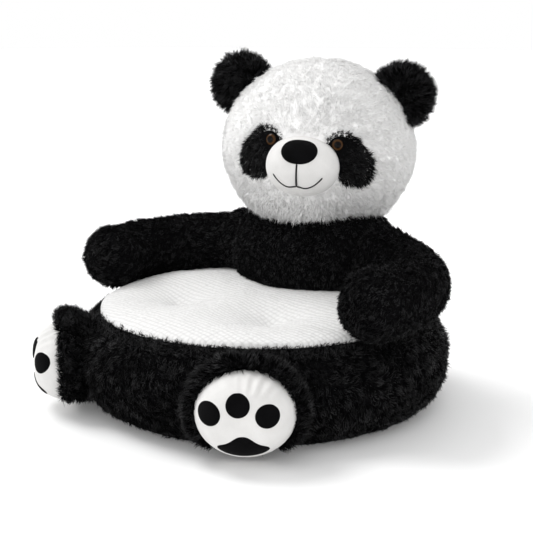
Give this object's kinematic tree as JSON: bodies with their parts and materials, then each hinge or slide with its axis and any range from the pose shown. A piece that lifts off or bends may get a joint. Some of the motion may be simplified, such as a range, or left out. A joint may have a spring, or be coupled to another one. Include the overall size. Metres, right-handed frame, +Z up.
{
  "type": "plush panda chair",
  "caption": "Child's stuffed panda chair: round furry base with a quilted seat, a torso as backrest, arms as armrests, a turned head and padded feet.",
  "frame": {"origin": "on the floor under the middle of the round base", "axes": "+Z up, the panda's body faces -Y, its own left side is +X; its head is turned 27 degrees towards its left"},
  "size_m": [0.5188, 0.4901, 0.4251],
  "materials": {
    "black_plush": "long black pile",
    "white_plush": "long white pile",
    "white_velour": "short white pile",
    "black_velour": "short smooth black pile",
    "eye_patch_plush": "black pile",
    "seat_cloth": "quilted in small squares",
    "bottom_cloth": "plain non-slip weave",
    "black_thread": "embroidered",
    "tie_thread": "twisted thread",
    "stuffing": "loose polyester fibre",
    "collar_cloth": "woven",
    "eye_plastic": "glossy, dark pupil in an amber ring",
    "washer_plastic": "moulded",
    "zip_tape": "woven",
    "zip_coil": "moulded coil",
    "zip_metal": "black enamel"
  },
  "bodies": {
    "base": {"base_side_cover": "black_plush", "base_bottom_panel": "bottom_cloth", "base_fill": "stuffing", "seat_panel": "seat_cloth", "seat_tuft_ties": "tie_thread", "zip_tape": "zip_tape", "zip_coil": "zip_coil", "zip_stops": "zip_metal", "torso_cover": "black_plush", "torso_fill": "stuffing"},
    "neck": {"neck_collar": "collar_cloth"},
    "head": {"head_cover": "white_plush", "head_fill": "stuffing", "muzzle_cover": "white_velour", "muzzle_fill": "stuffing", "nose_patch": "black_velour", "mouth_stitching": "black_thread", "eye_patch_left": "eye_patch_plush", "eye_patch_right": "eye_patch_plush", "eye_left": "eye_plastic", "eye_right": "eye_plastic", "eye_washer_left": "washer_plastic", "eye_washer_right": "washer_plastic"},
    "ear_left": {"ear_cover_left": "black_plush", "ear_fill_left": "stuffing"},
    "ear_right": {"ear_cover_right": "black_plush", "ear_fill_right": "stuffing"},
    "arm_left": {"arm_cover_left": "black_plush", "arm_fill_left": "stuffing"},
    "arm_right": {"arm_cover_right": "black_plush", "arm_fill_right": "stuffing"},
    "foot_left": {"foot_cover_left": "black_plush", "foot_fill_left": "stuffing", "foot_sole_left": "white_velour", "toe_pads_left": "black_velour", "heel_pad_left": "black_velour"},
    "foot_right": {"foot_cover_right": "black_plush", "foot_fill_right": "stuffing", "foot_sole_right": "white_velour", "toe_pads_right": "black_velour", "heel_pad_right": "black_velour"},
    "zip_slider": {"zip_slider": "zip_metal"},
    "zip_pull": {"zip_pull": "zip_metal"}
  },
  "joints": [
    {"name": "neck_turn", "type": "hinge", "parent": "base", "child": "neck", "pos_m": [0.009, 0.101, 0.318], "axis": [0.0527, 0.0273, 0.9982], "range_deg": [-12, 12], "stiffness_Nm_per_rad": 0.6},
    {"name": "head_nod", "type": "hinge", "parent": "neck", "child": "head", "pos_m": [0.009, 0.101, 0.318], "axis": [0.8863, 0.4594, -0.0593], "range_deg": [-10, 10], "stiffness_Nm_per_rad": 1.5},
    {"name": "ear_left_flop", "type": "hinge", "parent": "head", "child": "ear_left", "pos_m": [0.1015, 0.14444, 0.37585], "axis": [0.4376, 0.2268, -0.8701], "range_deg": [-10, 10], "stiffness_Nm_per_rad": 0.05},
    {"name": "ear_right_flop", "type": "hinge", "parent": "head", "child": "ear_right", "pos_m": [-0.0731, 0.05394, 0.38753], "axis": [0.5259, 0.2726, 0.8056], "range_deg": [-10, 10], "stiffness_Nm_per_rad": 0.05},
    {"name": "arm_left_lift", "type": "hinge", "parent": "base", "child": "arm_left", "pos_m": [0.116, 0.1, 0.175], "axis": [-0.809, -0.5878, 0], "range_deg": [0, 30]},
    {"name": "arm_right_lift", "type": "hinge", "parent": "base", "child": "arm_right", "pos_m": [-0.116, 0.1, 0.175], "axis": [-0.809, 0.5878, 0], "range_deg": [0, 30]},
    {"name": "foot_left_flex", "type": "hinge", "parent": "base", "child": "foot_left", "pos_m": [0.13897, -0.18577, 0.059], "axis": [-0.8007, -0.599, 0], "range_deg": [-4, 12], "stiffness_Nm_per_rad": 3},
    {"name": "foot_right_flex", "type": "hinge", "parent": "base", "child": "foot_right", "pos_m": [-0.13897, -0.18577, 0.059], "axis": [-0.8007, 0.599, 0], "range_deg": [-4, 12], "stiffness_Nm_per_rad": 3},
    {"name": "zip_slide", "type": "hinge", "parent": "base", "child": "zip_slider", "pos_m": [0, 0, 0.064], "axis": [0, 0, 1], "range_deg": [0, 59]},
    {"name": "zip_pull_swing", "type": "hinge", "parent": "zip_slider", "child": "zip_pull", "pos_m": [0.11641, 0.20575, 0.0655], "axis": [0.8704, -0.4924, 0], "range_deg": [0, 110]}
  ]
}
